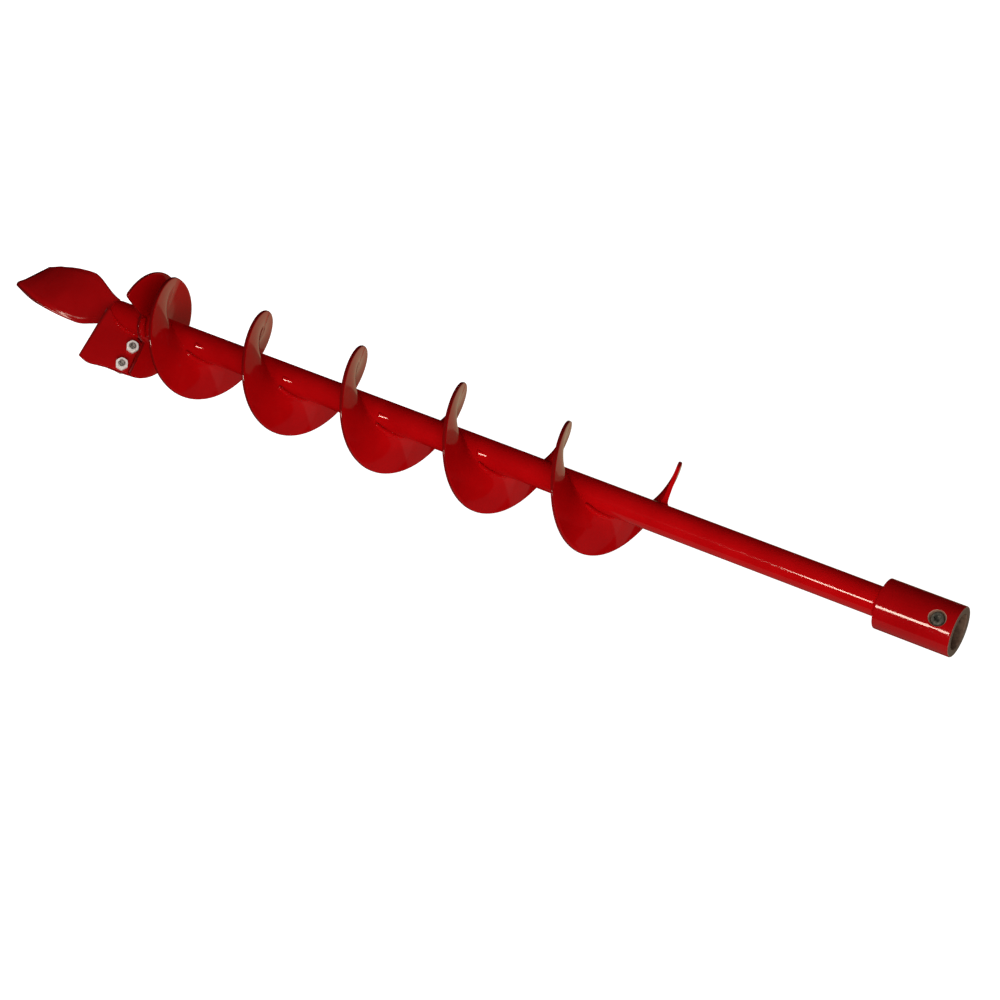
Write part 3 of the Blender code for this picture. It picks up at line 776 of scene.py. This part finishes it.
show(shaft_tube(), RED, "shaft_tube")
show(drive_hub(), RED_HUB, "drive_hub")
show(hub_fillet(), RED_WELD, "hub_weld")
show(set_screw(), BLACK, "set_screw", "screw")
show(flat_turn(), RED_EDGED, "flat_first_turn")
for number in range(1, TURNS + 1):
    show(flight_turn(number), RED_EDGED, f"flight_turn_{number}")
    piece = bead(f"root_bead_{number}", -44.0 + 360.0 * number, 34.0 + 360.0 * number, PITCH)
    show(piece, RED_WELD, f"root_weld_{number}")
dress(crease_bead(), RED_WELD)
for number, level in enumerate(TAIL_LEVELS, start=1):
    slope = 0.132 - 0.101 * (level - TAIL_LEVELS[-1]) / (TAIL_LEVELS[-1] - TAIL_LEVELS[0])
    dress(weld_tail(f"weld_tail_{number}", TAIL_ANGLE, level, slope), RED_WELD)
show(bead("root_bead_flat", -110.0, -30.0, FLAT_RISE, 2.3), RED_WELD, "root_weld_flat")
show(cutting_blade(), RED_CUTTER, "cutting_blade")
show(blade_seat(), RED, "blade_seat")
for side, at in BOLTS.items():
    show(nut(side, np.array(at)), ZINC, f"blade_nut_{side}")
    show(bolt(side, np.array(at)), ZINC_CUT, f"blade_bolt_{side}")
show(fishtail(), RED_CUTTER, "fishtail_point")
show(end_weld(), RED_WELD, "point_weld")


# ---------------------------------------------------------------- studio

def camera():
    """A long lens seen from a little above the hub's side, rolled so that the shaft runs down to
    the right."""
    made = bpy.data.objects.new("camera", bpy.data.cameras.new("camera"))
    bpy.context.scene.collection.objects.link(made)
    made.data.lens, made.data.sensor_width = 80.0, 36.0
    made.data.clip_start, made.data.clip_end = 0.05, 60.0
    look = Matrix.Rotation(np.radians(90.0 - 26.006), 4, "X")
    roll = Matrix.Rotation(np.radians(111.244), 4, "Z")
    made.matrix_world = Matrix.Translation((0.0251, -1.2824, 0.3179)) @ look @ roll
    bpy.context.scene.camera = made


def lamp(name, way, target, reach, size, radiance, colour=(1.0, 1.0, 1.0), shine=True):
    """A rectangular lamp: way is its azimuth and elevation as seen from the target, and its
    power is four times its area times its radiance. Without shine it has no reflection."""
    az, el = np.radians(way)
    out = Vector((np.cos(el) * np.cos(az), np.cos(el) * np.sin(az), np.sin(el)))
    light = bpy.data.lights.new(name, "AREA")
    light.shape, light.size, light.size_y = "RECTANGLE", *size
    light.energy, light.color = 4.0 * size[0] * size[1] * radiance, colour
    made = bpy.data.objects.new(name, light)
    bpy.context.scene.collection.objects.link(made)
    made.location = Vector(target) + out * reach
    made.rotation_euler = out.to_track_quat("Z", "Y").to_euler()
    made.visible_camera = False
    made.visible_glossy = shine


def floor():
    """A wide pale floor, lit evenly from behind like a light table. It neither lights the bit nor
    shows in its paint."""
    far, level = 40.0, -1.45
    mesh = bpy.data.meshes.new("floor")
    corners = [(-far, -far, level), (far, -far, level), (far, far, level), (-far, far, level)]
    mesh.from_pydata(corners, [], [(0, 1, 2, 3)])
    made = bpy.data.objects.new("floor", mesh)
    bpy.context.scene.collection.objects.link(made)
    f = Finish("pale_floor", Roughness=0.9, Specular_IOR_Level=0.0, Emission_Strength=1.0)
    cloud = f.noise(3.0, 3.0, 0.5)
    pale = f.blend(cloud, rgb(0.99, 0.99, 0.99), rgb(1.0, 1.0, 1.0))
    base = f.blend(cloud, rgb(0.7, 0.7, 0.7), rgb(0.8, 0.8, 0.8))
    mesh.materials.append(f.feed(Base_Color=base, Emission_Color=pale))
    made.visible_glossy = False
    made.visible_diffuse = False


def surroundings():
    """Dim, even room light that leaves no reflection."""
    world = bpy.data.worlds.new("studio")
    world.use_nodes = True
    back = world.node_tree.nodes["Background"]
    back.inputs["Color"].default_value = (1.0, 0.97, 0.95, 1.0)
    back.inputs["Strength"].default_value = 0.24
    world.cycles_visibility.glossy = False
    bpy.context.scene.world = world


camera()
MIDDLE, HUB = (0.0, 0.0, -0.33), (0.0, 0.0, -0.05)
lamp("strip", (-67.1, -15.6), HUB, 4.0, (0.56, 0.46), 18.0, (1.0, 0.84, 0.70))
lamp("key", (-64.0, 24.0), MIDDLE, 0.85, (0.6, 0.6), 4.4, (1.0, 0.97, 0.95), shine=False)
lamp("side", (24.0, 16.0), MIDDLE, 1.8, (2.6, 3.0), 0.12, (1.0, 0.88, 0.80))
lamp("card", (98.0, 4.0), MIDDLE, 1.5, (1.3, 1.6), 0.11, (1.0, 0.82, 0.52))
lamp("card_core", (93.0, -3.0), MIDDLE, 1.4, (0.8, 1.05), 0.19, (1.0, 0.82, 0.52))
lamp("top", (0.0, 68.0), MIDDLE, 1.5, (1.6, 1.6), 0.05)
lamp("back", (125.0, 12.0), MIDDLE, 1.6, (1.2, 1.2), 1.2, shine=False)
floor()
surroundings()
bpy.context.scene.view_settings.view_transform = "Standard"
